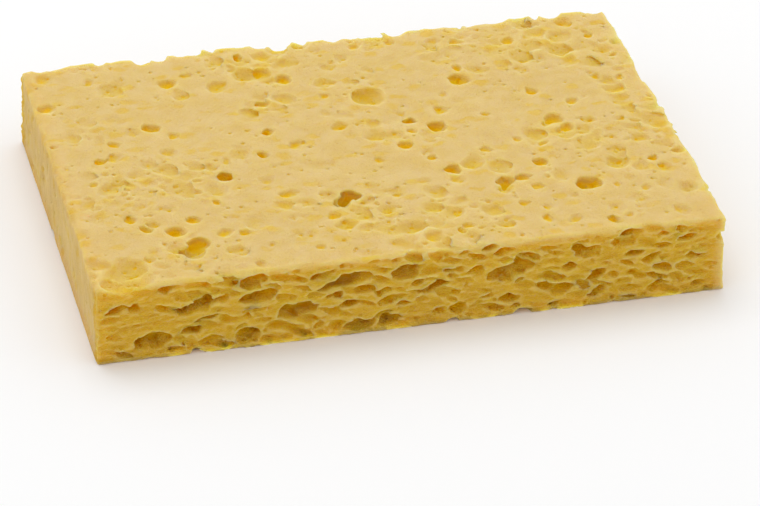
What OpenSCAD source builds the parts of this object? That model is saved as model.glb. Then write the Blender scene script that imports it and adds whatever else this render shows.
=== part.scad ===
// Dry sponge of open-cell cellulose foam: one flat block, cut square on all sides.
// Origin: middle of the underside. +X runs along the length, +Y to the back, +Z up.
// The foam's larger cells are cut as balls, and as lenses where two balls overlap,
// because the cells lie flattened and meet a cut side as pointed almonds.

/* [Block] */
// Length of the block, left to right
block_length = 80; // [60:1:110]
// Width of the block, front to back
block_width = 55; // [40:1:75]
// Thickness of the block
block_thickness = 11; // [9:0.5:18]

/* [Foam] */
// Slope of the flattened cells, in degrees, rising to the right
grain_slope = 10; // [0:1:15]
// Least wall between two chance cells
cell_wall = 0.3; // [0.2:0.05:0.6]
// Least wall between a closed cell and the face that it stays behind
skin = 0.45; // [0.2:0.05:0.6]

/* [Cut sides] */
// Width of the narrowest chance cell in a side
side_cell_min = 1.5; // [1.2:0.1:2]
// Width of the widest chance cell in a side
side_cell_max = 4; // [2.5:0.1:5]
// Height of a cell in the front and back, as a share of its width
front_flatness = 0.38; // [0.3:0.02:0.6]
// Height of a cell in the two ends, as a share of its width
end_flatness = 0.55; // [0.3:0.02:0.7]
// Tries for a chance cell on each 100 square millimetres of side
side_tries = 12; // [5:1:20]
// Width of the widest cell in the left end, which is nearly smooth
left_cell_max = 2; // [1.6:0.1:4]
// Tries for a cell on each 100 square millimetres of the left end
left_tries = 2; // [1:1:13]

/* [Broad faces] */
// Width of the narrowest chance pit in the top and underside
pit_min = 1.5; // [1.2:0.1:2]
// Width of the widest chance pit in the top and underside
pit_max = 3.6; // [2.5:0.1:5]
// Depth of a chance pit, as a share of its width
pit_depth = 0.22; // [0.15:0.01:0.4]
// Tries for a chance pit on each 100 square millimetres of a broad face
pit_tries = 1.5; // [1:0.5:4]
// Width of the plain spot in the middle of the underside
rest_spot = 8; // [4:1:14]

/* [Hidden] */

// Number that the chance cells are drawn from
foam_seed = 7;
// Facets round a ball
ball_facets = 20;
// How far a shallow pit's rim circle lies outside the face
pit_rim = 0.12;

half_length = block_length / 2;
half_width = block_width / 2;
half_thick = block_thickness / 2;

// Holes and bowls of the top that are seen at a glance, from the front edge to the back one:
// share of the length from the left, share of the width from the front, width, depth. The last two
// bite into the back edge.
TOP_PITS = [
    [0.004, 0.067, 2, 0.8], [0.05, 0.02, 6, 1.2], [0.062, 0.075, 5.4, 1.3], [0.2, 0.01, 4.6, 0.8],
    [0.264, 0.034, 1.8, 0.9], [0.362, 0.07, 1.6, 0.8], [0.585, 0.073, 1.1, 0.9], [0.599, 0.085, 1.4, 0.6],
    [0.731, 0.086, 1.5, 0.9], [0.768, 0.07, 2, 0.9], [0.826, 0.045, 1.6, 1.2], [0.854, 0.058, 1.3, 0.7],
    [0.938, 0.053, 3, 0.7], [0.966, 0.021, 1.6, 0.7], [0.88, 0.11, 2.8, 0.5],
    [0.166, 0.114, 2.4, 2.6], [0.18, 0.15, 2.2, 2.2], [0.11, 0.13, 2.2, 0.5], [0.134, 0.16, 1.5, 0.6],
    [0.295, 0.11, 1.4, 0.7], [0.339, 0.124, 4.2, 0.8], [0.416, 0.149, 3.2, 0.7], [0.463, 0.12, 2.6, 0.5],
    [0.228, 0.18, 1.9, 0.7], [0.258, 0.169, 1.8, 1], [0.155, 0.204, 2.4, 1.4], [0.187, 0.251, 1.5, 1.2],
    [0.11, 0.229, 1, 1.2], [0.127, 0.245, 1.8, 0.6], [0.095, 0.275, 1.6, 0.9], [0.402, 0.195, 2, 0.6],
    [0.645, 0.18, 1.7, 0.6], [0.703, 0.154, 1.7, 0.6], [0.738, 0.133, 2.4, 0.5], [0.785, 0.166, 1.6, 0.7],
    [0.687, 0.227, 2.2, 0.8], [0.691, 0.261, 2, 1.6], [0.72, 0.267, 1.5, 1.3], [0.736, 0.22, 1.3, 0.7],
    [0.814, 0.212, 2.8, 2], [0.856, 0.193, 1.4, 0.6], [0.422, 0.246, 2.7, 1.8], [0.44, 0.274, 2.2, 2.4],
    [0.511, 0.251, 1.2, 0.8], [0.579, 0.207, 2, 0.5], [0.879, 0.288, 3.6, 1], [0.933, 0.287, 1, 1],
    [0.945, 0.245, 2.4, 0.5], [0.983, 0.309, 1.4, 0.8], [0.114, 0.323, 3, 0.5], [0.231, 0.31, 1.1, 0.7],
    [0.209, 0.362, 1.3, 0.8], [0.563, 0.304, 2.4, 0.6], [0.617, 0.337, 1.9, 1.4], [0.76, 0.327, 1.7, 1.1],
    [0.323, 0.38, 2.8, 0.6], [0.261, 0.415, 1.8, 2.2], [0.426, 0.418, 4, 0.6], [0.518, 0.42, 1.2, 0.8],
    [0.594, 0.402, 1.3, 0.8], [0.685, 0.404, 1.7, 1.1], [0.775, 0.4, 1.7, 0.7], [0.86, 0.405, 4.2, 0.7],
    [0.744, 0.434, 1.4, 0.9], [0.245, 0.462, 1.7, 0.7], [0.13, 0.46, 3.8, 0.6], [0.564, 0.467, 2, 0.9],
    [0.82, 0.447, 2.2, 0.9], [0.833, 0.467, 1.8, 1.2], [0.868, 0.485, 2.4, 0.6], [0.8, 0.485, 1.2, 1],
    [0.815, 0.51, 2.7, 1.3], [0.335, 0.496, 1.8, 1.1], [0.394, 0.525, 2.2, 0.8], [0.584, 0.522, 1.6, 0.7],
    [0.627, 0.532, 2.9, 1.5], [0.08, 0.541, 1.2, 0.9], [0.104, 0.553, 2.8, 0.8], [0.189, 0.542, 2.4, 0.6],
    [0.588, 0.569, 1.2, 1.4], [0.714, 0.565, 1.2, 0.8], [0.863, 0.577, 1.4, 1], [0.94, 0.57, 5, 0.5],
    [0.355, 0.594, 1.5, 1], [0.473, 0.58, 2.2, 0.7], [0.581, 0.607, 1.7, 0.9], [0.645, 0.603, 2.2, 1.2],
    [0.109, 0.61, 1.8, 0.9], [0.209, 0.621, 1.7, 0.8], [0.808, 0.652, 2, 1.1], [0.178, 0.663, 1.9, 1.2],
    [0.923, 0.679, 1.6, 0.9], [0.96, 0.667, 1.9, 0.9], [0.665, 0.675, 2.2, 0.9], [0.758, 0.705, 1.8, 0.6],
    [0.54, 0.7, 4.8, 1.3], [0.367, 0.721, 2.5, 1.4], [0.122, 0.72, 3.6, 0.7], [0.7, 0.74, 3, 1.4],
    [0.738, 0.743, 1.2, 0.8], [0.471, 0.727, 1.5, 0.7], [0.489, 0.788, 1.8, 0.7], [0.708, 0.791, 1.4, 0.9],
    [0.965, 0.772, 1.1, 0.7], [0.025, 0.806, 2.4, 1], [0.309, 0.822, 3.6, 0.9], [0.416, 0.822, 2.4, 1.4],
    [0.386, 0.857, 3.2, 1.3], [0.232, 0.86, 2.8, 1.3], [0.685, 0.845, 4, 0.6], [0.813, 0.89, 1.8, 0.6],
    [0.946, 0.874, 1.3, 0.8], [0.265, 0.892, 1.4, 0.7], [0.726, 0.909, 1.8, 0.8], [0.44, 0.9, 2.8, 0.5],
    [0.105, 0.907, 2.6, 0.4], [0.688, 0.923, 2.4, 0.7], [0.035, 0.945, 3.4, 0.7], [0.4, 0.935, 3, 0.5],
    [0.358, 0.944, 1.3, 0.8], [0.619, 0.947, 1.8, 0.7], [0.921, 0.95, 3.2, 0.8], [0.468, 0.975, 2.2, 0.9],
    [0.44, 0.995, 2.8, 2.2], [0.23, 1, 2.6, 1.6]
];

// Flattened cells of the front that are seen at a glance, from left to right:
// share of the length from the left, share of the thickness from below, width, height
FRONT_CELLS = [
    [0.03, 0.665, 3, 1.2], [0.065, 0.65, 2.2, 1.2], [0.067, 0.455, 2.4, 0.8], [0.09, 0.21, 5.4, 1.8],
    [0.094, 0.48, 1.3, 0.9], [0.116, 0.885, 3, 1], [0.124, 0.09, 2.6, 1.2], [0.145, 0.3, 4, 1.4],
    [0.155, 0.85, 1.8, 0.9], [0.158, 0, 2, 1.8], [0.16, 0.62, 7.2, 2.3], [0.168, 0.44, 3.6, 1],
    [0.184, 0.867, 1.8, 1.2], [0.203, 0.28, 1.1, 1], [0.205, 0.965, 3.4, 1.5], [0.225, 0.273, 2.4, 1.1],
    [0.238, 0.09, 4.2, 2.4], [0.245, 0.86, 3.8, 2.2], [0.256, 0.65, 5.6, 2], [0.309, 0.968, 1.8, 1],
    [0.315, 0.385, 5.8, 2.8], [0.345, 0.18, 2.3, 1.5], [0.352, 0.83, 3.2, 1.2], [0.374, 0.15, 2.3, 1.5],
    [0.376, 0.535, 3.2, 0.9], [0.391, 0.695, 7.6, 2.1], [0.411, 0.115, 3.9, 1.7], [0.447, 0.21, 2.7, 1.1],
    [0.459, 0.115, 3.8, 1.3], [0.46, 0.413, 3.3, 1.2], [0.49, 0.755, 4.6, 2], [0.503, 0.6, 1.8, 0.9],
    [0.525, 0.84, 2.2, 1.1], [0.527, 0.49, 4.4, 1.5], [0.539, 0.175, 1.7, 1], [0.559, 0.37, 2.4, 0.8],
    [0.561, 0.7, 3, 1], [0.567, 0.165, 2.1, 1.8], [0.573, 0.888, 2.4, 1], [0.594, 0.643, 2.5, 1.1],
    [0.614, 0.93, 2.8, 0.9], [0.641, 0.845, 2.6, 1.2], [0.648, 0.57, 6.2, 2], [0.653, 0.22, 2.9, 1],
    [0.675, 0.715, 3.6, 1.3], [0.708, 0.53, 2.4, 1.1], [0.71, 0.4, 1.4, 0.8], [0.724, 0.08, 2.4, 1.1],
    [0.735, 0.275, 4, 2.4], [0.744, 0.563, 2.2, 0.8], [0.756, 0.82, 2.1, 1], [0.775, 0.74, 3.8, 1.8],
    [0.785, 0.39, 3.1, 1.2], [0.818, 0.35, 1.4, 0.8], [0.843, 0.915, 3.8, 2], [0.846, 0.38, 2.1, 1.1],
    [0.851, 0.64, 3.3, 1.3], [0.875, 0.535, 2.9, 1.2], [0.889, 0.14, 3.7, 1.3], [0.89, 0.84, 2.6, 1],
    [0.926, 0.165, 1.6, 0.7], [0.933, 0.74, 2.5, 1], [0.954, 0.495, 3.8, 1.4]
];

// A cell is [centre, half its width, half its height, slope]. Only the flattened cells of the front
// and back show the grain's slope: those of the ends are seen along it.

// Where a cell that reaches this far from its centre may lie, measured from the middle of the
// block: well through the face, or behind it with its skin
function seated(place, reach, half) =
    abs(place) > half - reach / 2
        ? place
        : sign(place) * min(abs(place), max(0, half - reach - skin));

// A pit in a broad face: up is 1 in the top and -1 in the underside. One deeper than half its
// width is a ball; a shallow one is a lens whose rim lies just outside the face.
function pit(x, y, width, depth, up) =
    let (
        ball = (width * width / 4 + depth * depth) / (2 * depth),
        deep = depth > width / 2,
        reach = deep ? ball : width / 2,
        rise = half_thick + (deep ? ball - depth : pit_rim)
    )
    [
        [seated(x, reach, half_length), seated(y, reach, half_width), half_thick + up * rise],
        reach,
        deep ? ball : depth + pit_rim,
        0
    ];

// A flattened cell in a side, this far along it and this high. side is 0 at the front, 1 at the
// back, 2 at the left and 3 at the right.
function side_cell(side, along, height, width, flatness) =
    let (
        long = side < 2,
        out = side % 2 == 0 ? -1 : 1,
        place = seated(along, width / 2, long ? half_length : half_width),
        rise = half_thick + seated(height - half_thick, width * flatness / 2, half_thick)
    )
    [
        long ? [place, out * half_width, rise] : [out * half_length, place, rise],
        width / 2,
        width * flatness / 2,
        long ? grain_slope : 0
    ];

// Whether two cells keep their wall, measured along the grain
function apart(a, b) =
    let (
        step = a[0] - b[0],
        rise = step.z - step.x * tan(grain_slope),
        across = a[1] + b[1] + cell_wall,
        up = a[2] + b[2] + cell_wall
    )
    (step.x * step.x + step.y * step.y) / (across * across) + rise * rise / (up * up) > 1;

function has_room(cell, placed) = len([for (other = placed) if (!apart(cell, other)) 1]) == 0;

// Adds each cell in turn that has room beside those placed before it
function fill(tries, placed, i = 0) =
    i == len(tries)
        ? placed
        : fill(tries, has_room(tries[i], placed) ? concat(placed, [tries[i]]) : placed, i + 1);

// Widths of a run of tries, from the widest to the narrowest, most of them narrow
function falling(count, narrow, wide) =
    [for (i = [0 : count - 1]) narrow + (wide - narrow) * pow(1 - i / count, 3)];

// Tries for a side
function side_tries_on(side) =
    let (
        long = side < 2,
        left = side == 2,
        half_run = long ? half_length : half_width,
        count = round(2 * half_run * block_thickness / 100 * (left ? left_tries : side_tries)),
        along = rands(-half_run, half_run, count, foam_seed + 10 * side),
        height = rands(0, block_thickness, count, foam_seed + 10 * side + 1),
        widths = falling(count, side_cell_min, left ? left_cell_max : side_cell_max),
        flatness = long ? front_flatness : end_flatness
    )
    [for (i = [0 : count - 1]) side_cell(side, along[i], height[i], widths[i], flatness)];

// Tries for the top (up = 1) or the underside (up = -1)
function pit_tries_on(up) =
    let (
        count = round(block_length * block_width / 100 * pit_tries),
        x = rands(-half_length, half_length, count, foam_seed + 50 + up),
        y = rands(-half_width, half_width, count, foam_seed + 60 + up),
        widths = falling(count, pit_min, pit_max)
    )
    [for (i = [0 : count - 1]) pit(x[i], y[i], widths[i], widths[i] * pit_depth, up)];

top_pits = [
    for (p = TOP_PITS)
        pit((p[0] - 0.5) * block_length, (p[1] - 0.5) * block_width, p[2], p[3], 1)
];

front_cells = [
    for (p = FRONT_CELLS)
        side_cell(0, (p[0] - 0.5) * block_length, p[1] * block_thickness, p[2], p[3] / p[2])
];

// The chosen cells come first, with the plain spot that the block rests on
rest = [[[0, 0, 0], rest_spot / 2, skin, 0]];
chosen = concat(rest, top_pits, front_cells);
placed = fill(
    concat(
        side_tries_on(0), side_tries_on(1), side_tries_on(2), side_tries_on(3),
        pit_tries_on(1), pit_tries_on(-1)
    ),
    chosen
);
cells = [for (i = [len(rest) : len(placed) - 1]) placed[i]];

// A cell at the origin: a lens where it is flatter than wide, otherwise a ball
module foam_cell(half_span, half_height) {
    ball = (half_span * half_span + half_height * half_height) / (2 * half_height);
    if (half_height < half_span)
        intersection() {
            translate([0, 0, ball - half_height]) sphere(r = ball, $fn = ball_facets);
            translate([0, 0, half_height - ball]) sphere(r = ball, $fn = ball_facets);
        }
    else
        sphere(r = half_span, $fn = ball_facets);
}

module sponge() {
    color([0.9, 0.8, 0.5])
        difference() {
            translate([-half_length, -half_width, 0])
                cube([block_length, block_width, block_thickness]);
            for (cell = cells)
                translate(cell[0])
                    rotate([0, -cell[3], 0])
                        foam_cell(cell[1], cell[2]);
        }
}

sponge();
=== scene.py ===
"""A dry cellulose sponge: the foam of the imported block, with its finer cells, on a pale floor.

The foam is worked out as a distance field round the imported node: negative in the cellulose,
positive in the air, in millimetres. Finer cells are cut into the field, and its zero surface
becomes the mesh. Lengths are in millimetres up to foam_mesh(), and in metres in the scene.
"""

import math

import bmesh
import bpy
import numpy as np
import openvdb
from mathutils import Matrix, Vector


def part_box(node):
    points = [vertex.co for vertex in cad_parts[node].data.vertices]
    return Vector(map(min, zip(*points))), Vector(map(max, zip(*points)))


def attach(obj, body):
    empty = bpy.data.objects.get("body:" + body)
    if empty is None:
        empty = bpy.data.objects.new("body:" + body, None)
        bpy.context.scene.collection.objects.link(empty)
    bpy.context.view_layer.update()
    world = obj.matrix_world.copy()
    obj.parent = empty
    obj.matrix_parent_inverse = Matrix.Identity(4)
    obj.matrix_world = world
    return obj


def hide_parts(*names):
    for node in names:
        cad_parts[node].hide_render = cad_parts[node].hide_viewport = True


NODE = "sponge"
MM = 0.001


def srgb(red, green, blue):
    """A colour given as 8-bit screen values, as linear numbers with an alpha of 1."""
    linear = (
        c / 12.92 if c <= 0.04045 else ((c + 0.055) / 1.055) ** 2.4
        for c in (red / 255, green / 255, blue / 255)
    )
    return (*linear, 1.0)


# Skin: its two patchy tones, its shallow ovals and its rare brown specks
PALE = srgb(220, 189, 125)
CREAM = srgb(217, 184, 112)
OCHRE = srgb(219, 181, 88)
TAN = srgb(206, 160, 96)

# Foam that the saw laid open: the painted shade of its hollows, and its walls
STRAW_HOLLOW_SHADE = srgb(221, 176, 50)
WALL = srgb(225, 185, 98)

# Painted shade in the cells: golden in all of them a little, and in the deep ones amber in the top and
# honey in the sawn sides
GOLD_CELL_SHADE = srgb(224, 185, 46)
AMBER_DEEP_SHADE = srgb(246, 212, 0)
HONEY_DEEP_SHADE = srgb(232, 184, 2)

# What the foam's colour is multiplied by, in the streaks of the left end, which also darken the whole end
# as painted shade, and close to the floor, as painted warm light reflected up onto the foam
DARK_STREAK_AND_SHADE = (0.76, 0.67, 0.57, 1)
LIGHT_STREAK_AND_SHADE = (0.87, 0.79, 0.74, 1)
PAINTED_BOUNCE_WARMTH = (1.08, 0.92, 0.85, 1)
PAINTED_BOUNCE_REACH = 2.2

# How far light spreads in the foam, with its shares for red, green and blue, and how deep the
# foam's fine relief is, on the top and on the sawn sides
GLOW_REACH = 3.0
GLOW_SHARES = (1.0, 0.92, 0.3)
TOP_RELIEF = 0.11
SIDE_RELIEF = 0.10

# The random draws: the number that all start from, and then one for each step
SEED = 20
FACE_DRAW, NOTCH_DRAW, CELL_DRAW, FIBRE_DRAW, SIDE_DRAW, EDGE_DRAW, BROAD_DRAW = range(10, 45, 5)
PINHOLE_DRAW, RAGGED_DRAW, FOAM_DRAW = (50, 60, 70)

# Standard deviation of unit knots spread by cubic splines along three axes
NOISE_SIZE = (151 / 315) ** 1.5

# The field: step of its grid, how far it reaches past the block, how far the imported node's distance
# is true, and the triangles that are left of its surface
VOXEL = 0.15
MARGIN = 0.9
BAND_VOXELS = 10
MOST_TRIANGLES = 196_000

# The block, worn by handling: rounding of its edges, wavelengths and heights of its faces' swells,
# and how far the faces lie in on average
EDGE_ROUNDING = 0.55
FACE_WAVES = ((7.0, 0.10), (2.6, 0.07), (0.9, 0.035))
FACE_WEAR = 0.12

# Noise that spoils the cells' outlines, the most that it adds, and the half length and half height
# from which a cell takes it in full
CELL_WAVES = ((2.4, 0.2), (0.95, 0.11))
MOST_FLAW = 0.2
FULL_FLAW = (1.4, 0.5)

# Fibres of the sawn sides: wavelength along the block, across it and up, and height
FIBRE_WAVES = (((1.6, 1.2, 0.45), 0.05), ((0.8, 0.6, 0.32), 0.04))

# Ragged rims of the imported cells: wavelengths and heights of how they stray, how near to a rim, and
# how far from a face, along each axis, they stray in full
RAGGED_WAVES = ((1.5, 0.12), (0.65, 0.1))
RAGGED_BAND = 0.45
RAGGED_FADE = (1, 1, 2)

# How wide the crease is rounded where a cell, a bite out of an edge, the faces or the sawn foam
# meets the rest
SMOOTHING = 0.10
BITE_SMOOTHING = 0.35
FACE_SMOOTHING = 0.3
OPEN_SMOOTHING = 0.08

# How far the pits of the top lean to the left and to the back as they go down, to a depth from
# which they lean back, and how far from the sides they begin to
LEAN = (0.35, -0.15)
LEAN_DEPTH = 2.4
LEAN_MARGIN = 0.5

# How sawn the foam is: how far behind a side it ends, over what length it fades, the most of it
# behind the right end, and the length and the least of its rise from the upright edges and the top
SAWN_END = 3.2
SAWN_FADE = 2.0
SAWN_RIGHT = 0.55
SAWN_UPRIGHT = (2.0, 0.15)
SAWN_TOP = (1.4, 0.2)

# Where the surface is calmer: the length and the least of its rise from the floor, and from the top
FLOOR_CALM = (1.5, 0.15)
TOP_CALM = (3.0, 0.5)

# Foam that the saw laid open: mean size of its cells along the grain, across it and up, and depth
SAWN_FOAM = (((2.2, 1.6, 0.8), 0.18), ((1.0, 0.9, 0.4), 0.12))

# One of its cells is level this far from its walls, and has a depth of at least the first share and
# up to the second one more
CELL_RIM = 0.6
CELL_DEPTHS = (0.3, 1.2)

# Where it is worked out: round this depth behind the faces, this far each way, and where the foam
# is at least this much sawn
OPEN_DEPTH = 0.4
OPEN_REACH = 0.6
OPEN_SHARE = 0.25

# Slope of the flattened cells, rising to the right, and how much it varies
GRAIN_SLOPE = math.radians(10)
GRAIN_SPREAD = math.radians(7)

# Fine cells of the sides: tries on each square millimetre, narrowest, widest, how fast the widths
# fall, half height and depth as shares of half the width, and the wall between two
SAWN = {
    "tries": 60, "narrow": 0.8, "wide": 3.0, "fall": 3.0,
    "flatness": (0.28, 0.46), "depth": (0.25, 0.55), "wall": 0.03,
}
ROUND = {
    "tries": 40, "narrow": 1.0, "wide": 2.8, "fall": 3.0,
    "flatness": (0.5, 0.85), "depth": (0.4, 0.9), "wall": 0.05,
}

# Which cells a side has. A side is the axis that it crosses, and -1 or 1 for the end of that axis.
SIDE_STYLES = {(1, -1): SAWN, (1, 1): SAWN, (0, 1): ROUND}

# How far the fine cells of the sides keep from the edges: along the run, and up
EDGE_SKIN = (0.7, 0.3)

# How much rounder the narrowest cells of a side are, the share that are lenses, and how far behind
# the side a cell's middle lies, as a share of half its width
NARROW_ROUNDER = 0.3
LENS_SHARE = 0.6
SINK = (-0.2, 0.35)

# Fine pits of the broad faces: the same, with the depth as a share of half the width, the wall
# between two, and the share of the width under which the foam has to be whole
DIMPLES = {
    "tries": 2.4, "narrow": 1.5, "wide": 4.2, "fall": 2.5,
    "depth": (0.12, 0.22), "wall": -0.5, "whole": 0.4,
}
PITS = {
    "tries": 5.0, "narrow": 0.6, "wide": 1.5, "fall": 2.5,
    "depth": (0.25, 0.6), "wall": 0.2, "whole": 1,
}

# How oval a pit is and how far it is turned, the foam that has to be left under it, its least depth,
# how far outside the face its middle lies, and the tilt of a dimple
PIT_OVAL = (0.65, 1.0)
PIT_TURN = 0.8
PIT_WALL = 0.15
LEAST_PIT = 0.12
PIT_RIM = 0.05
DIMPLE_TILT = (math.radians(6), math.radians(14))

# How far the fine pits keep from the edges of the top and of the underside
PIT_MARGIN = {1: 0.35, -1: 0.8}

# How far behind a face the foam is tried, and how far out towards a cell's own ends
PROBE_DEPTH = 0.3
PROBE_SHARE = 0.85

# Pinholes: how many, tries for each, least and most radius, the chance of one at a face and how much
# it grows for each millimetre behind it, and how much of the foam this far round one is solid
PINHOLES = 6000
PINHOLE_TRIES = 3
PINHOLE_SIZES = (0.13, 0.32)
PINHOLE_CHANCE = (0.06, 1.2)
PINHOLE_REACH = 0.6
PINHOLE_SOLID = 0.47

# Bites out of the top edges: spacing, then least and most half length, half width and half height,
# and how much the spacing varies
WORN = (2.6, (0.9, 2.2), (0.3, 0.7), (0.25, 0.6))
SCALLOPED = (7.0, (0.7, 1.6), (0.8, 1.6), (0.5, 1.0))
EDGE_BITES = {(1, -1): WORN, (1, 1): SCALLOPED, (0, -1): WORN, (0, 1): WORN}
BITE_SPACING = (0.6, 1.6)

# Notches between the humps of the back edge and the right one: wavelength, depth, how far from the
# edge they fade, how much sooner at the right one, and how wide they are
NOTCHES = (2.6, 0.95, 1.6)
RIGHT_FADE = 1.5
CUSP_WIDTH = 0.7

# Where the two widest pits run together at the front left: place along the block and across it from
# its front left corner, half sizes and depth
BOWL = (4.6, 2.2, 3.1, 3.6, 1.0)
BOWL_TURN = 0.35

# The underside is cut this far below the block's, so that the cut runs between the field's points
FLOOR_LAP = 0.004

# What the colour of a point depends on: how much of the foam is solid this far round it, which sets how
# much shade is painted into its hollows and cells, and how near it is to the left end
SOLID_REACHES = {"fine": 0.3, "crowd": 0.6, "closed": 1.2}
END_REACH = 1.2

# The floor, in metres, the light all round and the lamp, which shines from behind
FLOOR_HALF = 3.0
FLOOR_COLOUR = (0.95, 0.95, 0.95, 1)
SKY_LIGHT = 0.84
LAMP_PLACE = Vector((-0.08, 0.35, 0.85))
LAMP_SIZE = 0.6
LAMP_POWER = 2.2

# The camera, in metres: where it stands, what it looks at, its roll and its lens on 36 mm film
EYE = Vector((-0.107, -0.4259, 0.2703))
AIM = Vector((-0.0002, -0.0098, 0.0))
ROLL = math.radians(1.03)
LENS = 189.5


class Field:
    """The distance field on a grid of points, with the place of its first point."""

    def __init__(self, low, high, voxel):
        self.voxel = voxel
        self.first = np.array(low, np.float32) - MARGIN
        span = np.array(high, np.float32) + MARGIN - self.first
        self.shape = tuple(int(math.ceil(s / voxel)) + 1 for s in span)
        self.axes = [
            (self.first[k] + voxel * np.arange(self.shape[k])).astype(np.float32) for k in range(3)
        ]
        self.values = None

    def window(self, centre, reach):
        """Slices of the grid within reach of a centre, and the steps from it, ready to combine."""
        slices = []
        steps = []
        for k in range(3):
            start = max(0, int((centre[k] - reach - self.first[k]) / self.voxel))
            stop = min(self.shape[k], int((centre[k] + reach - self.first[k]) / self.voxel) + 2)
            if stop <= start:
                return None, None
            slices.append(slice(start, stop))
            form = [1, 1, 1]
            form[k] = -1
            steps.append((self.axes[k][start:stop] - centre[k]).reshape(form))
        return tuple(slices), steps

    def sample(self, points, values=None):
        """Trilinear values at points, an array of rows."""
        values = self.values if values is None else values
        place = (points - self.first) / self.voxel
        corner = np.floor(place).astype(np.int64)
        corner = np.clip(corner, 0, np.array(self.shape) - 2)
        part = np.clip(place - corner, 0, 1).astype(np.float32)
        total = np.zeros(len(points), np.float32)
        for dx, dy, dz in np.ndindex(2, 2, 2):
            weight = (
                np.abs(1 - dx - part[:, 0])
                * np.abs(1 - dy - part[:, 1])
                * np.abs(1 - dz - part[:, 2])
            )
            total += weight * values[corner[:, 0] + dx, corner[:, 1] + dy, corner[:, 2] + dz]
        return total


def spread(knots, points, start, cell):
    """Cubic B-spline values at points, along the first axis of a lattice of knots."""
    place = (points - start) / cell + 1
    base = np.floor(place).astype(int)
    t = (place - base).astype(np.float32)
    weights = ((1 - t) ** 3, 3 * t**3 - 6 * t**2 + 4, -3 * t**3 + 3 * t**2 + 3 * t + 1, t**3)
    total = 0
    for step, weight in enumerate(weights):
        total = total + (weight / 6).reshape(-1, 1, 1) * knots[base - 1 + step]
    return total


def noise(field, cell, seed):
    """Smooth noise over the whole grid, of about unit size, with bumps one cell apart."""
    cells = (cell, cell, cell) if np.isscalar(cell) else cell
    counts = [int(field.voxel * n / size) + 5 for n, size in zip(field.shape, cells)]
    values = np.random.default_rng([SEED, seed]).standard_normal(counts, np.float32)
    for k in (2, 1, 0):
        values = np.ascontiguousarray(np.moveaxis(values, 2, 0))
        values = spread(values, field.axes[k], field.first[k], cells[k])
    return values / NOISE_SIZE


def waves(field, table, seed):
    """Noise of several wavelengths, from a table of (wavelength, height)."""
    return sum(height * noise(field, cell, seed + k) for k, (cell, height) in enumerate(table))


def node_distance(field, obj):
    """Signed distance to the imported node's surface, up to BAND_VOXELS away."""
    mesh = obj.data
    mesh.calc_loop_triangles()
    points = np.empty(len(mesh.vertices) * 3, np.float32)
    mesh.vertices.foreach_get("co", points)
    points = points.reshape(-1, 3) / MM
    corners = np.empty(len(mesh.loop_triangles) * 3, np.int32)
    mesh.loop_triangles.foreach_get("vertices", corners)
    index_points = (points - field.first) / field.voxel
    grid = openvdb.FloatGrid.createLevelSetFromPolygons(
        np.ascontiguousarray(index_points, np.float32),
        triangles=np.ascontiguousarray(corners.reshape(-1, 3), np.uint32),
        halfWidth=float(BAND_VOXELS),
    )
    values = np.empty(field.shape, np.float32)
    grid.copyToArray(values)
    return values * field.voxel


def box_distance(field, low, high, rounding):
    """Signed distance to the block with rounded edges."""
    middle = (np.array(low) + np.array(high)) / 2
    half = (np.array(high) - np.array(low)) / 2 - rounding
    over = []
    for k in range(3):
        form = [1, 1, 1]
        form[k] = -1
        over.append((np.abs(field.axes[k] - middle[k]) - half[k]).reshape(form))
    outside = np.sqrt(sum(np.maximum(o, 0) ** 2 for o in over))
    inside = np.minimum(np.maximum(np.maximum(over[0], over[1]), over[2]), 0)
    return outside + inside - rounding


def smooth_max(first, second, width):
    """The larger of two fields, with the crease between them rounded over a width."""
    blend = np.maximum(width - np.abs(first - second), 0) / width
    return np.maximum(first, second) + blend * blend * width * 0.25


def box_blur(values, radius):
    """Mean over a cube of 2 * radius + 1 points a side."""
    width = 2 * radius + 1
    for axis in range(3):
        first = np.repeat(np.take(values, [0], axis), radius + 1, axis)
        last = np.repeat(np.take(values, [-1], axis), radius, axis)
        total = np.cumsum(np.concatenate([first, values, last], axis), axis, dtype=np.float64)
        upper = np.take(total, range(width, total.shape[axis]), axis)
        lower = np.take(total, range(0, total.shape[axis] - width), axis)
        values = ((upper - lower) / width).astype(np.float32)
    return values


def carve(field, centre, radii, slope, turn, flaw, lens, smoothing=SMOOTHING):
    """Cuts one cell into the field. radii are its half sizes along the grain, across it and up;
    slope tilts it about Y, turn about Z. flaw is the noise that spoils its outline."""
    slices, steps = field.window(centre, max(radii) + 3 * field.voxel)
    if slices is None:
        return
    x, y, z = steps
    u = math.cos(turn) * x + math.sin(turn) * y
    v = -math.sin(turn) * x + math.cos(turn) * y
    along = math.cos(slope) * u + math.sin(slope) * z
    up = -math.sin(slope) * u + math.cos(slope) * z
    if lens:
        flat = np.sqrt((along / radii[0]) ** 2 + (v / radii[1]) ** 2) * radii[0]
        ball = (radii[0] ** 2 + radii[2] ** 2) / (2 * radii[2])
        hollow = np.sqrt(flat**2 + (np.abs(up) + ball - radii[2]) ** 2) - ball
    else:
        near = np.sqrt((along / radii[0]) ** 2 + (v / radii[1]) ** 2 + (up / radii[2]) ** 2)
        steep = np.sqrt(
            (along / radii[0] ** 2) ** 2 + (v / radii[1] ** 2) ** 2 + (up / radii[2] ** 2) ** 2
        )
        hollow = near * (near - 1) / np.maximum(steep, 1e-6)
    hollow = hollow + flaw[slices] * min(1.0, radii[2] / FULL_FLAW[1], radii[0] / FULL_FLAW[0])
    field.values[slices] = smooth_max(field.values[slices], -hollow, smoothing)


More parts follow.
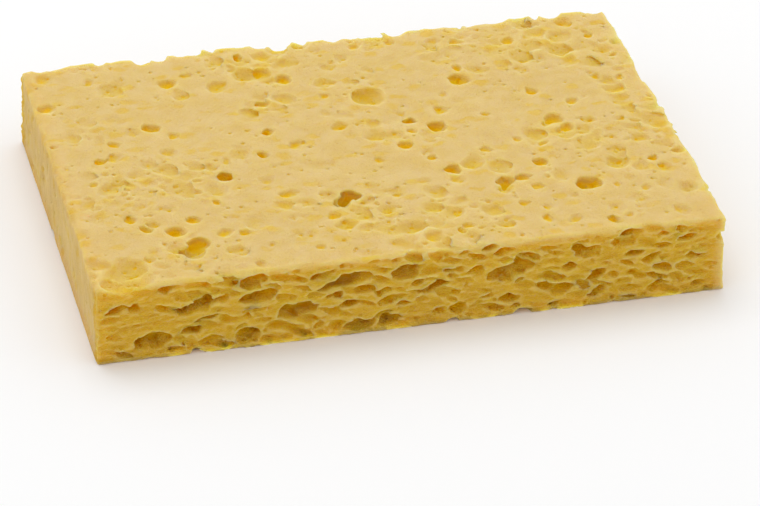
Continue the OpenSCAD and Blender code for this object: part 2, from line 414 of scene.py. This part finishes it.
def pick_apart(spots, wall):
    """The spots that keep a wall between them, taken in order. Each is (along, up, half width,
    half height)."""
    kept = np.zeros((len(spots), 4))
    chosen = []
    for i, (along, up, half_width, half_height) in enumerate(spots):
        count = len(chosen)
        if count:
            others = kept[:count]
            gap = ((others[:, 0] - along) / (others[:, 2] + half_width + wall)) ** 2
            gap += ((others[:, 1] - up) / (others[:, 3] + half_height + wall)) ** 2
            if gap.min() < 1:
                continue
        kept[count] = spots[i]
        chosen.append(i)
    return np.array(chosen, int)


def scattered(rng, run, rise, style):
    """Spots all over a face, from the widest to the narrowest, most of them narrow. Each is (along,
    up, half width, half height), and the half height is as yet the half width."""
    count = int(run * rise * style["tries"])
    fall = (1 - np.arange(count) / count) ** style["fall"]
    spots = np.empty((count, 4))
    spots[:, 0] = rng.uniform(0, run, count)
    spots[:, 1] = rng.uniform(0, rise, count)
    spots[:, 2] = (style["narrow"] + (style["wide"] - style["narrow"]) * fall) / 2
    spots[:, 3] = spots[:, 2]
    return spots


def room_for(field, centres, reaches, wall):
    """Whether the foam is still whole at each centre and towards the ends of its reaches."""
    worst = field.sample(centres.astype(np.float32))
    for reach in reaches:
        for share in (-PROBE_SHARE, PROBE_SHARE):
            worst = np.maximum(worst, field.sample((centres + share * reach).astype(np.float32)))
    return worst < -wall


def from_ends(places, halves, length):
    """How far each cell's nearer end lies from the nearer end of a length."""
    return np.minimum(places, length - places) - halves


def cut_side(field, low, high, side, flaw, seed):
    """Cuts the fine cells of one side."""
    axis, out = side
    style = SIDE_STYLES[side]
    long = axis == 1
    run_axis = 1 - axis
    face = (low if out < 0 else high)[axis]
    rng = np.random.default_rng([SEED, seed])
    run = high[run_axis] - low[run_axis]
    rise = high[2] - low[2]
    spots = scattered(rng, run, rise, style)
    count = len(spots)
    rounder = NARROW_ROUNDER * (style["wide"] - 2 * spots[:, 2]) / (style["wide"] - style["narrow"])
    spots[:, 3] *= np.minimum(rng.uniform(*style["flatness"], count) + rounder, 1)
    slope = GRAIN_SLOPE if long else 0.0
    probe = np.empty((count, 3))
    probe[:, run_axis] = low[run_axis] + spots[:, 0]
    probe[:, 2] = low[2] + spots[:, 1]
    probe[:, axis] = face - out * PROBE_DEPTH
    along = np.zeros((count, 3))
    along[:, run_axis] = spots[:, 2] * math.cos(slope)
    along[:, 2] = spots[:, 2] * math.sin(slope)
    up = np.zeros((count, 3))
    up[:, 2] = spots[:, 3]
    inside = from_ends(spots[:, 0], spots[:, 2], run) > EDGE_SKIN[0]
    inside &= from_ends(spots[:, 1], spots[:, 3], rise) > EDGE_SKIN[1]
    free = np.flatnonzero(inside & room_for(field, probe, (along, up), style["wall"]))
    # Laid level, so that the wall between two cells is measured along the grain
    level = spots[free].copy()
    level[:, 1] -= level[:, 0] * math.tan(slope)
    level[:, 0] /= math.cos(slope)
    for i in free[pick_apart(level, style["wall"])]:
        half_width, half_height = spots[i, 2:]
        deep = half_width * rng.uniform(*style["depth"])
        centre = probe[i].copy()
        centre[axis] = face - out * half_width * rng.uniform(*SINK)
        tilt = -slope + rng.normal(0, GRAIN_SPREAD)
        radii = (half_width, deep, half_height) if long else (deep, half_width, half_height)
        carve(field, centre, radii, tilt, 0.0, flaw, rng.random() < LENS_SHARE)


def cut_broad(field, low, high, out, style, flaw, seed):
    """Cuts the dimples or the small pits of the top (out = 1) or the underside (out = -1)."""
    rng = np.random.default_rng([SEED, seed])
    run = high[0] - low[0]
    rise = high[1] - low[1]
    face = high[2] if out > 0 else low[2]
    dimpled = style is DIMPLES
    spots = scattered(rng, run, rise, style)
    count = len(spots)
    spots[:, 3] *= rng.uniform(*PIT_OVAL, count)
    probe = np.empty((count, 3))
    probe[:, 0] = low[0] + spots[:, 0]
    probe[:, 1] = low[1] + spots[:, 1]
    probe[:, 2] = face - out * PROBE_DEPTH
    across = np.zeros((count, 3))
    across[:, 0] = spots[:, 2] * style["whole"]
    inside = from_ends(spots[:, 0], spots[:, 2], run) >= PIT_MARGIN[out]
    inside &= from_ends(spots[:, 1], spots[:, 2], rise) >= PIT_MARGIN[out]
    # The dimples of the top run out over its edges
    if dimpled and out > 0:
        inside[:] = True
    free = np.flatnonzero(inside & room_for(field, probe, (across,), PIT_WALL))
    for i in free[pick_apart(spots[free], style["wall"])]:
        half_width, half_height = spots[i, 2:]
        deep = max(LEAST_PIT, half_width * rng.uniform(*style["depth"]))
        centre = probe[i].copy()
        centre[2] = face + out * PIT_RIM
        turn = rng.uniform(-PIT_TURN, PIT_TURN)
        slope = -out * rng.uniform(*DIMPLE_TILT) if dimpled else 0.0
        radii = (half_width, half_height, deep + PIT_RIM)
        carve(field, centre, radii, slope, turn, flaw, dimpled)


def cut_bowl(field, low, high, flaw):
    """Joins the two widest pits, at the front left, into one bowl that is open to the front."""
    along, across, half_length, half_width, deep = BOWL
    centre = (low[0] + along, low[1] + across, high[2])
    carve(field, centre, (half_length, half_width, deep), 0.0, BOWL_TURN, flaw, True)


def notches(field, low, high, seed):
    """How deep the top edges at the back and the right are notched: rounded humps between cusps."""
    wavelength, depth, reach = NOTCHES
    x, y, z = field.axes
    below_top = (high[2] - z).reshape(1, 1, -1)
    from_back = np.hypot((high[1] - y).reshape(1, -1, 1), below_top)
    from_right = np.hypot((high[0] - x).reshape(-1, 1, 1), below_top) * RIGHT_FADE
    near = np.clip(1 - np.minimum(from_back, from_right) / reach, 0, 1)
    cusps = np.clip(1 - np.abs(noise(field, wavelength, seed)) / CUSP_WIDTH, 0, 1)
    return depth * near * cusps


def bite_edges(field, low, high, flaw, seed):
    """Wears scallops into the top edges."""
    rng = np.random.default_rng([SEED, seed])
    for (axis, out), (spacing, *sizes) in EDGE_BITES.items():
        run_axis = 1 - axis
        along = low[run_axis] + rng.uniform(0, spacing)
        while along < high[run_axis]:
            long, wide, tall = (rng.uniform(*limits) for limits in sizes)
            centre = np.empty(3)
            centre[run_axis] = along
            centre[axis] = (low if out < 0 else high)[axis]
            centre[2] = high[2]
            radii = (long, wide, tall) if axis == 1 else (wide, long, tall)
            carve(field, centre, radii, 0.0, 0.0, flaw, False, BITE_SMOOTHING)
            along += rng.uniform(*BITE_SPACING) * spacing


def cut_pinholes(field, envelope, seed):
    """Cuts pinholes into the surface at random, most of them inside the larger cells."""
    rng = np.random.default_rng([SEED, seed])
    solid = box_blur((field.values < 0).astype(np.float32), round(PINHOLE_REACH / field.voxel))
    skin = np.abs(field.values.ravel()) < field.voxel * 0.5
    near = np.flatnonzero((solid > PINHOLE_SOLID).ravel() & skin)
    picks = near[rng.integers(0, len(near), PINHOLES * PINHOLE_TRIES)]
    depth = -envelope.ravel()[picks]
    chance = np.clip(PINHOLE_CHANCE[0] + depth * PINHOLE_CHANCE[1], 0, 1)
    keep = rng.random(len(picks)) < chance
    picks = picks[keep][:PINHOLES]
    radii = rng.uniform(*PINHOLE_SIZES, len(picks))
    smooth = np.zeros(field.shape, np.float32)
    for radius, index in zip(radii, zip(*np.unravel_index(picks, field.shape))):
        centre = [field.axes[k][index[k]] for k in range(3)]
        carve(field, centre, (radius, radius, radius), 0.0, 0.0, smooth, False)


def leaning(field, block, low, high):
    """The block's field with the pits of its top leaning as they go down."""
    inside = []
    for k in (0, 1):
        from_face = np.minimum(field.axes[k] - low[k], high[k] - field.axes[k])
        inside.append(np.clip(from_face - LEAN_MARGIN, 0, 1))
    share = inside[0].reshape(-1, 1) * inside[1].reshape(1, -1)
    values = block.copy()
    for k, z in enumerate(field.axes[2]):
        below = high[2] - z
        if not 0 < below < 2 * LEAN_DEPTH:
            continue
        steps = np.array(LEAN) * min(below, 2 * LEAN_DEPTH - below) / field.voxel
        moved = block[:, :, k]
        for axis in (0, 1):
            whole = int(math.floor(steps[axis]))
            part = steps[axis] - whole
            moved = (1 - part) * np.roll(moved, -whole, axis) + part * np.roll(moved, -whole - 1, axis)
        values[:, :, k] += share * (moved - values[:, :, k])
    return values


def ragged(field, block, low, high, seed):
    """The block's field, read a little to one side here and there, so that its cells have ragged
    rims. Nothing is moved across a face, so the faces stay flat."""
    near = np.flatnonzero(np.abs(block.ravel()) < RAGGED_BAND)
    index = np.unravel_index(near, field.shape)
    moved = np.empty((len(near), 3), np.float32)
    for k in range(3):
        place = field.axes[k][index[k]]
        from_face = np.minimum(place - low[k], high[k] - place)
        shift = waves(field, RAGGED_WAVES, seed + 10 * k).ravel()[near]
        moved[:, k] = place + shift * np.clip(from_face / RAGGED_FADE[k], 0, 1)
    values = block.copy()
    values.ravel()[near] = field.sample(moved, block)
    return values


def cell_depth(points, sizes, seed):
    """How deep a random foam's cells are at points in the grain's frame, 0 on the cells' walls."""
    place = points / np.array(sizes, np.float32)
    home = np.floor(place).astype(np.int32)
    first = home.min(0) - 1
    rng = np.random.default_rng([SEED, seed])
    seeds = rng.random((*(home.max(0) - first + 2), 4)).astype(np.float32)
    nearest = np.full(len(points), np.inf, np.float32)
    second = nearest.copy()
    own = np.zeros(len(points), np.float32)
    for step in np.ndindex(3, 3, 3):
        step = np.array(step, np.int32) - 1
        # A seed in a corner cell is seldom near enough to matter
        if np.abs(step).sum() == 3:
            continue
        cell = home + step
        here = seeds[tuple((cell - first).T)]
        distance = ((cell + here[:, :3] - place) ** 2).sum(1)
        closer = distance < nearest
        second = np.where(closer, nearest, np.minimum(second, distance))
        own = np.where(closer, here[:, 3], own)
        nearest = np.minimum(nearest, distance)
    from_wall = np.clip((np.sqrt(second) - np.sqrt(nearest)) / CELL_RIM, 0, 1)
    return (CELL_DEPTHS[0] + CELL_DEPTHS[1] * own) * from_wall * (2 - from_wall)


def sawn_share(field, low, high):
    """How sawn the foam is: 1 behind the front and the back, about half as much behind the right
    end, and 0 further in. It is less at the upright edges of the right end, and near the top."""
    x, y, z = field.axes
    front_or_back = np.minimum(y - low[1], high[1] - y).reshape(1, -1, 1)
    right = (high[0] - x).reshape(-1, 1, 1)
    below_top = (high[2] - z).reshape(1, 1, -1)
    behind_long = np.clip((SAWN_END - front_or_back) / SAWN_FADE, 0, 1)
    behind_right = np.clip((SAWN_END - right) / SAWN_FADE, 0, 1)
    share = np.maximum(behind_long, SAWN_RIGHT * behind_right)
    share = share * np.clip(np.hypot(front_or_back, right) / SAWN_UPRIGHT[0], SAWN_UPRIGHT[1], 1)
    return (share * np.clip(below_top / SAWN_TOP[0], SAWN_TOP[1], 1)).astype(np.float32)


def open_foam(field, envelope, sawn, seed):
    """Opens the small cells that the saw cut through, all over the sawn sides."""
    skin = np.abs(envelope + OPEN_DEPTH) < OPEN_REACH
    near = np.flatnonzero(skin.ravel() & (sawn > OPEN_SHARE).ravel())
    index = np.unravel_index(near, field.shape)
    x, y, z = (field.axes[k][index[k]] for k in range(3))
    cosine = math.cos(GRAIN_SLOPE)
    sine = math.sin(GRAIN_SLOPE)
    grain = np.stack([x * cosine + z * sine, y, z * cosine - x * sine], 1)
    depth = sum(
        height * cell_depth(grain, sizes, seed + k) for k, (sizes, height) in enumerate(SAWN_FOAM)
    )
    opened = depth * sawn.ravel()[near] + envelope.ravel()[near]
    field.values.ravel()[near] = smooth_max(field.values.ravel()[near], opened, OPEN_SMOOTHING)


def foam_field(low, high, obj):
    """The field of the whole foam, that of the worn block without its cells, and how sawn it is."""
    field = Field(low, high, VOXEL)
    block = leaning(field, node_distance(field, obj), low, high)
    block = ragged(field, block, low, high, RAGGED_DRAW)
    z = field.axes[2].reshape(1, 1, -1)
    # The wear lessens near the floor, and the flaws of the cells lessen near the top as well
    level = np.clip((z - low[2]) / FLOOR_CALM[0], FLOOR_CALM[1], 1)
    calm = level * np.clip(TOP_CALM[1] + (high[2] - z) / TOP_CALM[0], TOP_CALM[1], 1)
    lowered = np.array(low) - (0, 0, 2 * EDGE_ROUNDING)
    envelope = box_distance(field, lowered, high, EDGE_ROUNDING)
    envelope += (waves(field, FACE_WAVES, FACE_DRAW) + FACE_WEAR) * level
    envelope += notches(field, low, high, NOTCH_DRAW)
    flaw = np.minimum(waves(field, CELL_WAVES, CELL_DRAW), MOST_FLAW)
    sawn = np.broadcast_to(sawn_share(field, low, high), field.shape)
    field.values = smooth_max(block + flaw * calm, envelope, FACE_SMOOTHING)
    for n, side in enumerate(SIDE_STYLES):
        cut_side(field, low, high, side, flaw, SIDE_DRAW + n)
    open_foam(field, envelope, sawn, FOAM_DRAW)
    field.values += waves(field, FIBRE_WAVES, FIBRE_DRAW) * sawn * level
    bite_edges(field, low, high, flaw, EDGE_DRAW)
    cut_bowl(field, low, high, flaw)
    for n, (out, style) in enumerate(((1, DIMPLES), (1, PITS), (-1, DIMPLES), (-1, PITS))):
        cut_broad(field, low, high, out, style, flaw, BROAD_DRAW + n)
    cut_pinholes(field, envelope, PINHOLE_DRAW)
    field.values = np.maximum(field.values, low[2] - FLOOR_LAP - z)
    return field, envelope, sawn


def foam_mesh(field):
    """The zero surface of the field as one closed mesh, in metres."""
    band = 3 * field.voxel
    grid = openvdb.FloatGrid(band)
    grid.copyFromArray(np.ascontiguousarray(np.clip(field.values, -band, band)))
    points, _, quads = grid.convertToPolygons(isovalue=0.0, adaptivity=0.0)
    points = (points * field.voxel + field.first) * MM
    mesh = bpy.data.meshes.new(NODE + "_foam")
    mesh.vertices.add(len(points))
    mesh.vertices.foreach_set("co", points.astype(np.float32).ravel())
    mesh.loops.add(quads.size)
    mesh.loops.foreach_set("vertex_index", quads.astype(np.int32).ravel())
    mesh.polygons.add(len(quads))
    mesh.polygons.foreach_set("loop_start", np.arange(0, quads.size, 4, dtype=np.int32))
    mesh.update(calc_edges=True)
    mesh.validate()
    return mesh


def largest_part(mesh):
    """Deletes all but the largest connected part, in place. Each point takes the lowest label among
    its neighbours until nothing changes, so that a part ends up with one label."""
    count = len(mesh.vertices)
    edges = np.empty(len(mesh.edges) * 2, np.int32)
    mesh.edges.foreach_get("vertices", edges)
    start, end = edges.reshape(-1, 2).T
    label = np.arange(count)
    while True:
        low = np.minimum(label[start], label[end])
        new = label.copy()
        np.minimum.at(new, start, low)
        np.minimum.at(new, end, low)
        new = new[new]
        if (new == label).all():
            break
        label = new
    main = np.bincount(label, minlength=count).argmax()
    edit = bmesh.new()
    edit.from_mesh(mesh)
    edit.verts.ensure_lookup_table()
    doomed = [edit.verts[int(i)] for i in np.flatnonzero(label != main)]
    bmesh.ops.delete(edit, geom=doomed, context="VERTS")
    edit.to_mesh(mesh)
    edit.free()


def thinned(obj, triangles):
    """Collapses the mesh to a number of triangles, flat stretches first."""
    bpy.context.view_layer.objects.active = obj
    faces = sum(len(p.vertices) - 2 for p in obj.data.polygons)
    change = obj.modifiers.new("thin", "DECIMATE")
    change.ratio = min(1.0, triangles / faces)
    change.use_collapse_triangulate = True
    graph = bpy.context.evaluated_depsgraph_get()
    mesh = bpy.data.meshes.new_from_object(obj.evaluated_get(graph))
    obj.modifiers.clear()
    old = obj.data
    obj.data = mesh
    bpy.data.meshes.remove(old)


def mark(mesh, field, envelope, sawn, low):
    """Notes at each point of the mesh what its colour depends on, as named attributes."""
    points = np.empty(len(mesh.vertices) * 3, np.float32)
    mesh.vertices.foreach_get("co", points)
    points = points.reshape(-1, 3) / MM
    solid = (field.values < 0).astype(np.float32)
    marks = {
        "depth": -field.sample(points, envelope),
        "sawn": field.sample(points, sawn),
        "end": np.clip(1 - (points[:, 0] - low[0]) / END_REACH, 0, 1),
    }
    for name, reach in SOLID_REACHES.items():
        marks[name] = field.sample(points, box_blur(solid, max(1, round(reach / field.voxel))))
    for name, values in marks.items():
        attribute = mesh.attributes.new(name, "FLOAT", "POINT")
        attribute.data.foreach_set("value", values.astype(np.float32))


def add(tree, kind, settings=None, **inputs):
    """Adds a node, with its settings and the values or links of its inputs. An input is named, or
    counted from 0 after an underscore."""
    node = tree.nodes.new("ShaderNode" + kind)
    for name, value in (settings or {}).items():
        setattr(node, name, value)
    for name, value in inputs.items():
        socket = node.inputs[int(name[1:]) if name[0] == "_" else name.replace("_", " ")]
        if isinstance(value, bpy.types.NodeSocket):
            tree.links.new(value, socket)
        else:
            socket.default_value = value
    return node


def stretch(tree, value, low, high, to_low=0.0, to_high=1.0):
    """The value's range from low to high, stretched to another and held at its ends."""
    return add(
        tree, "MapRange", {"interpolation_type": "SMOOTHSTEP"},
        Value=value, From_Min=low, From_Max=high, To_Min=to_low, To_Max=to_high,
    ).outputs["Result"]


def mix(tree, share, first, second, blend="MIX"):
    """Two colours mixed."""
    return add(
        tree, "Mix", {"data_type": "RGBA", "blend_type": blend, "clamp_factor": True},
        _0=share, _6=first, _7=second,
    ).outputs[2]


def multiply(tree, first, second, plus=0.0):
    """Two numbers multiplied, with a third added."""
    return add(tree, "Math", {"operation": "MULTIPLY_ADD"}, _0=first, _1=second, _2=plus).outputs[0]


def drawn_out(tree, place, scale, slope=0.0):
    """Places for a texture that is drawn out by a scale, and tilted about Y."""
    return add(
        tree, "Mapping", {"vector_type": "TEXTURE"},
        Vector=place, Rotation=(0, -slope, 0), Scale=scale,
    ).outputs["Vector"]


def noise_texture(tree, place, size, detail, roughness=0.5):
    """Noise with bumps of about a size in millimetres."""
    return add(
        tree, "TexNoise", Vector=place, Scale=1 / (size * MM), Detail=detail, Roughness=roughness
    ).outputs


def cell_texture(tree, place, size, feature="F1"):
    """Random cells of about a size in millimetres."""
    return add(tree, "TexVoronoi", {"feature": feature}, Vector=place, Scale=1 / (size * MM)).outputs


def bent(tree, place, from_place, size, detail, reach):
    """Places moved to and fro by noise of a size, over a reach in millimetres."""
    return add(
        tree, "VectorMath", {"operation": "MULTIPLY_ADD"},
        _0=noise_texture(tree, from_place, size, detail)["Color"], _1=(reach * MM,) * 3, _2=place,
    ).outputs["Vector"]


def noted(tree, name):
    """What mark() noted at each point under a name."""
    return add(tree, "Attribute", {"attribute_name": name}).outputs["Fac"]


def web_texture(tree, along_grain):
    """The walls between the smallest cells, 1 in their middle."""
    cells = bent(tree, along_grain, along_grain, 1.2, 3.0, 1.1)
    from_wall = cell_texture(tree, cells, 0.65, "DISTANCE_TO_EDGE")["Distance"]
    return stretch(tree, from_wall, 0.0, 0.24, 1.0, 0.0)


def oval_texture(tree, place):
    """Shallow ovals along the block, here and there, 1 in their middle."""
    ovals = cell_texture(tree, bent(tree, drawn_out(tree, place, (1.5, 1, 1)), place, 1.6, 2.0, 1.6), 1.9)
    there = stretch(tree, ovals["Color"], 0.3, 0.65)
    return multiply(tree, stretch(tree, ovals["Distance"], 0.18, 0.5, 1.0, 0.0), there)


def foam_colour(tree, place, webs, ovals):
    """The foam's colour: its skin or its sawn walls, with shade painted into their hollows, then the
    painted shade of its cells, the streaks of its left end with painted shade over the whole end, its
    specks, and warm light painted in close to the floor."""
    sawn = noted(tree, "sawn")
    patches = noise_texture(tree, place, 2.6, 4.0, 0.6)["Fac"]
    skin = mix(tree, stretch(tree, patches, 0.35, 0.65), PALE, CREAM)
    skin = mix(tree, ovals, skin, OCHRE)
    # Painted shade: the sawn foam's hollows, and the middles of its smallest cells between the webs, take
    # the darker straw colour, its walls the paler one
    walls = mix(tree, stretch(tree, noted(tree, "fine"), 0.32, 0.5, 1.0, 0.0), STRAW_HOLLOW_SHADE, WALL)
    walls = mix(tree, stretch(tree, webs, 0.3, 0.9, 0.0, 0.3), walls, WALL)
    colour = mix(tree, stretch(tree, sawn, 0.2, 1.0), skin, walls)

    # Painted shade: the deeper a point lies below the worn faces and the more solid foam is round it, the
    # more golden it is, and amber or honey deep in the cells
    colour = mix(tree, stretch(tree, noted(tree, "depth"), 0.08, 0.6, 0.0, 0.4), colour, GOLD_CELL_SHADE)
    colour = mix(tree, stretch(tree, noted(tree, "crowd"), 0.52, 0.72, 0.0, 0.4), colour, GOLD_CELL_SHADE)
    deep = mix(tree, stretch(tree, sawn, 0.0, 0.5), AMBER_DEEP_SHADE, HONEY_DEEP_SHADE)
    colour = mix(tree, stretch(tree, noted(tree, "closed"), 0.52, 0.72, 0.0, 0.9), colour, deep)

    # The streaks of the left end are its grain, and as both streak colours are below 1 they also darken
    # the whole end, which is painted shade
    upright = drawn_out(tree, place, (1, 1, 5))
    streaks = noise_texture(tree, upright, 0.9, 6.0, 0.75)["Fac"]
    streaked_and_shaded = mix(tree, stretch(tree, streaks, 0.35, 0.65), DARK_STREAK_AND_SHADE, LIGHT_STREAK_AND_SHADE)
    colour = mix(tree, noted(tree, "end"), colour, streaked_and_shaded, "MULTIPLY")

    specks = stretch(tree, cell_texture(tree, place, 0.9)["Distance"], 0.1, 0.2, 0.5, 0.0)
    specks = multiply(tree, stretch(tree, patches, 0.45, 0.6), specks)
    colour = mix(tree, specks, colour, TAN)

    # Painted warm light close to the floor: the foam is made warmer there, as if warm light were
    # reflected up onto it
    height = add(tree, "SeparateXYZ", Vector=place).outputs["Z"]
    low = stretch(tree, height, 0.0, PAINTED_BOUNCE_REACH * MM, 1.0, 0.0)
    return mix(tree, low, colour, PAINTED_BOUNCE_WARMTH, "MULTIPLY")


def foam_normal(tree, along_grain, webs, ovals):
    """The foam's fine relief: webs, which are faint on the skin, grains and sunken ovals."""
    sawn = noted(tree, "sawn")
    height = multiply(tree, webs, stretch(tree, sawn, 0.0, 1.0, 0.25, 1.0))
    height = multiply(tree, noise_texture(tree, along_grain, 0.3, 3.0)["Fac"], 0.6, height)
    height = multiply(tree, ovals, -0.7, height)
    relief = stretch(tree, sawn, 0.0, 1.0, TOP_RELIEF * MM, SIDE_RELIEF * MM)
    return add(tree, "Bump", Strength=1.0, Distance=relief, Height=height).outputs["Normal"]


def foam_material():
    """Cellulose: a pale skin, with shade painted golden into its cells, and a fine foam that lies along
    the grain.
    """
    material = bpy.data.materials.new("foam")
    material.use_nodes = True
    tree = material.node_tree
    shader = tree.nodes["Principled BSDF"]
    shader.inputs["Roughness"].default_value = 0.95
    shader.inputs["Specular IOR Level"].default_value = 0.1
    shader.inputs["Subsurface Weight"].default_value = 1.0
    shader.inputs["Subsurface Radius"].default_value = GLOW_SHARES
    shader.inputs["Subsurface Scale"].default_value = GLOW_REACH * MM
    place = add(tree, "TexCoord").outputs["Object"]
    along_grain = drawn_out(tree, place, (1, 1, 0.42), GRAIN_SLOPE)
    webs = web_texture(tree, along_grain)
    ovals = oval_texture(tree, place)
    tree.links.new(foam_colour(tree, place, webs, ovals), shader.inputs["Base Color"])
    tree.links.new(foam_normal(tree, along_grain, webs, ovals), shader.inputs["Normal"])
    return material


def stage():
    """A pale floor that reaches far past the view."""
    mesh = bpy.data.meshes.new("floor")
    signs = ((-1, -1), (1, -1), (1, 1), (-1, 1))
    mesh.from_pydata([(x * FLOOR_HALF, y * FLOOR_HALF, 0) for x, y in signs], [], [(0, 1, 2, 3)])
    floor = bpy.data.objects.new("floor", mesh)
    bpy.context.scene.collection.objects.link(floor)
    material = bpy.data.materials.new("floor")
    material.use_nodes = True
    shader = material.node_tree.nodes["Principled BSDF"]
    shader.inputs["Base Color"].default_value = FLOOR_COLOUR
    shader.inputs["Roughness"].default_value = 0.9
    mesh.materials.append(material)


def lights():
    """Even white light from all round, and a soft lamp high up behind the sponge."""
    world = bpy.data.worlds.new("studio")
    bpy.context.scene.world = world
    world.use_nodes = True
    sky = world.node_tree.nodes["Background"]
    sky.inputs["Color"].default_value = (1, 1, 1, 1)
    sky.inputs["Strength"].default_value = SKY_LIGHT
    data = bpy.data.lights.new("overhead", "AREA")
    data.size = LAMP_SIZE
    data.energy = LAMP_POWER
    lamp = bpy.data.objects.new("overhead", data)
    lamp.location = LAMP_PLACE
    lamp.rotation_euler = (-LAMP_PLACE).to_track_quat("-Z", "Y").to_euler()
    bpy.context.scene.collection.objects.link(lamp)


def camera():
    """A long lens from the front left, looking down on the sponge."""
    data = bpy.data.cameras.new("camera")
    data.sensor_width = 36.0
    data.lens = LENS
    data.clip_start = 0.01
    data.clip_end = 20.0
    seen_from = bpy.data.objects.new("camera", data)
    look = (AIM - EYE).to_track_quat("-Z", "Y").to_matrix().to_4x4()
    seen_from.matrix_world = Matrix.Translation(EYE) @ look @ Matrix.Rotation(ROLL, 4, "Z")
    bpy.context.scene.collection.objects.link(seen_from)
    bpy.context.scene.camera = seen_from


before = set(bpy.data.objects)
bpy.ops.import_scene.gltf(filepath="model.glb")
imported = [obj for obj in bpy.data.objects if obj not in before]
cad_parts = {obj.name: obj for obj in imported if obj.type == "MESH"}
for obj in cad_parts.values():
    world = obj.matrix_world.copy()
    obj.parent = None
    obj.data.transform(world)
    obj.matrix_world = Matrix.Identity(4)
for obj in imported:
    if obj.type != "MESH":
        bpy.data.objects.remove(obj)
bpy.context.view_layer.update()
low, high = [np.array(corner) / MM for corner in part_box(NODE)]

field, envelope, sawn = foam_field(low, high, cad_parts[NODE])
mesh = foam_mesh(field)
largest_part(mesh)
sponge = bpy.data.objects.new("cellulose_sponge", mesh)
bpy.context.scene.collection.objects.link(sponge)
thinned(sponge, MOST_TRIANGLES)
mark(sponge.data, field, envelope, sawn, low)
sponge.data.shade_smooth()

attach(sponge, "root")
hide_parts(NODE)
sponge.data.materials.append(foam_material())

stage()
lights()
camera()
bpy.context.scene.view_settings.view_transform = "Standard"
